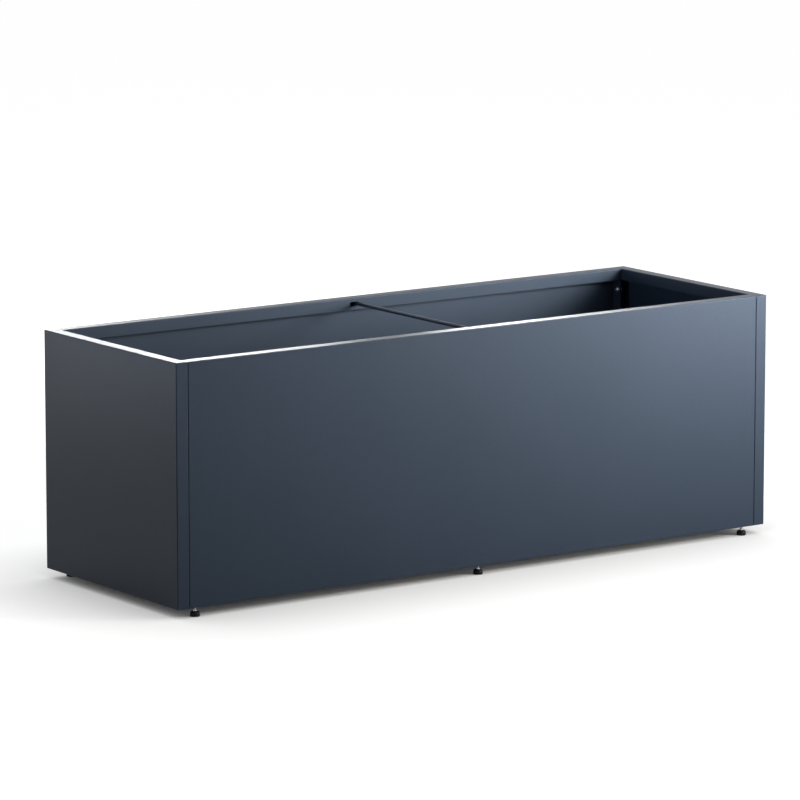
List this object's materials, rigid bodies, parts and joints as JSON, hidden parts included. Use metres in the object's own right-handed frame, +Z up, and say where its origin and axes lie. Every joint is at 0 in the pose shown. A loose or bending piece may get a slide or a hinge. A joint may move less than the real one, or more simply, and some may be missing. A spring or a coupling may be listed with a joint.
{
  "type": "metal planter",
  "caption": "Rectangular sheet-metal floor planter with a folded rim, bolted corner seams, a tie rod across the top, a drained floor and screw-adjusted levelling feet.",
  "frame": {"origin": "on the floor under the middle of the planter", "axes": "+X along the length, -Y the front as pictured, +Z up"},
  "size_m": [1.5, 0.5, 0.52],
  "materials": {
    "coating": "satin anthracite powder coat on galvanised steel sheet",
    "zinc": "bright zinc-plated steel",
    "pad_plastic": "moulded black polyamide"
  },
  "bodies": {
    "planter": {"front_panel": "coating", "rear_panel": "coating", "left_end_panel": "coating", "right_end_panel": "coating", "base_sheet_left": "coating", "base_sheet_right": "coating", "cross_rail": "coating", "bolts_front_left": "zinc", "bolts_front_right": "zinc", "bolts_rear_left": "zinc", "bolts_rear_right": "zinc", "washers_front_left": "zinc", "washers_front_right": "zinc", "washers_rear_left": "zinc", "washers_rear_right": "zinc", "nuts_front_left": "zinc", "nuts_front_right": "zinc", "nuts_rear_left": "zinc", "nuts_rear_right": "zinc", "foot_inserts_front": "zinc", "foot_inserts_rear": "zinc"},
    "tie_rod": {"tie_rod": "coating"},
    "pad_front_1": {"foot_pad_front_1": "pad_plastic"},
    "stud_front_1": {"foot_stud_front_1": "zinc"},
    "pad_front_2": {"foot_pad_front_2": "pad_plastic"},
    "stud_front_2": {"foot_stud_front_2": "zinc"},
    "pad_front_3": {"foot_pad_front_3": "pad_plastic"},
    "stud_front_3": {"foot_stud_front_3": "zinc"},
    "pad_rear_1": {"foot_pad_rear_1": "pad_plastic"},
    "stud_rear_1": {"foot_stud_rear_1": "zinc"},
    "pad_rear_2": {"foot_pad_rear_2": "pad_plastic"},
    "stud_rear_2": {"foot_stud_rear_2": "zinc"},
    "pad_rear_3": {"foot_pad_rear_3": "pad_plastic"},
    "stud_rear_3": {"foot_stud_rear_3": "zinc"}
  },
  "joints": [
    {"name": "tie_rod_turn", "type": "hinge", "parent": "planter", "child": "tie_rod", "pos_m": [0.0125, 0, 0.5075], "axis": [0, 1, 0], "range_deg": [-115, 115]},
    {"name": "foot_front_1_height", "type": "slide", "parent": "planter", "child": "pad_front_1", "axis": [0, 0, -1], "range_m": [-0.004, 0.015]},
    {"name": "foot_front_1_turn", "type": "hinge", "parent": "pad_front_1", "child": "stud_front_1", "pos_m": [-0.7, -0.235, 0.02], "axis": [0, 0, -1], "range_deg": [-1440, 5400]},
    {"name": "foot_front_2_height", "type": "slide", "parent": "planter", "child": "pad_front_2", "axis": [0, 0, -1], "range_m": [-0.004, 0.015]},
    {"name": "foot_front_2_turn", "type": "hinge", "parent": "pad_front_2", "child": "stud_front_2", "pos_m": [0, -0.235, 0.02], "axis": [0, 0, -1], "range_deg": [-1440, 5400]},
    {"name": "foot_front_3_height", "type": "slide", "parent": "planter", "child": "pad_front_3", "axis": [0, 0, -1], "range_m": [-0.004, 0.015]},
    {"name": "foot_front_3_turn", "type": "hinge", "parent": "pad_front_3", "child": "stud_front_3", "pos_m": [0.7, -0.235, 0.02], "axis": [0, 0, -1], "range_deg": [-1440, 5400]},
    {"name": "foot_rear_1_height", "type": "slide", "parent": "planter", "child": "pad_rear_1", "axis": [0, 0, -1], "range_m": [-0.004, 0.015]},
    {"name": "foot_rear_1_turn", "type": "hinge", "parent": "pad_rear_1", "child": "stud_rear_1", "pos_m": [-0.7, 0.235, 0.02], "axis": [0, 0, -1], "range_deg": [-1440, 5400]},
    {"name": "foot_rear_2_height", "type": "slide", "parent": "planter", "child": "pad_rear_2", "axis": [0, 0, -1], "range_m": [-0.004, 0.015]},
    {"name": "foot_rear_2_turn", "type": "hinge", "parent": "pad_rear_2", "child": "stud_rear_2", "pos_m": [0, 0.235, 0.02], "axis": [0, 0, -1], "range_deg": [-1440, 5400]},
    {"name": "foot_rear_3_height", "type": "slide", "parent": "planter", "child": "pad_rear_3", "axis": [0, 0, -1], "range_m": [-0.004, 0.015]},
    {"name": "foot_rear_3_turn", "type": "hinge", "parent": "pad_rear_3", "child": "stud_rear_3", "pos_m": [0.7, 0.235, 0.02], "axis": [0, 0, -1], "range_deg": [-1440, 5400]}
  ],
  "couplings": [
    {"joint": "foot_front_1_turn", "follows": "foot_front_1_height", "rad_per_m": 6283.2},
    {"joint": "foot_front_2_turn", "follows": "foot_front_2_height", "rad_per_m": 6283.2},
    {"joint": "foot_front_3_turn", "follows": "foot_front_3_height", "rad_per_m": 6283.2},
    {"joint": "foot_rear_1_turn", "follows": "foot_rear_1_height", "rad_per_m": 6283.2},
    {"joint": "foot_rear_2_turn", "follows": "foot_rear_2_height", "rad_per_m": 6283.2},
    {"joint": "foot_rear_3_turn", "follows": "foot_rear_3_height", "rad_per_m": 6283.2}
  ]
}
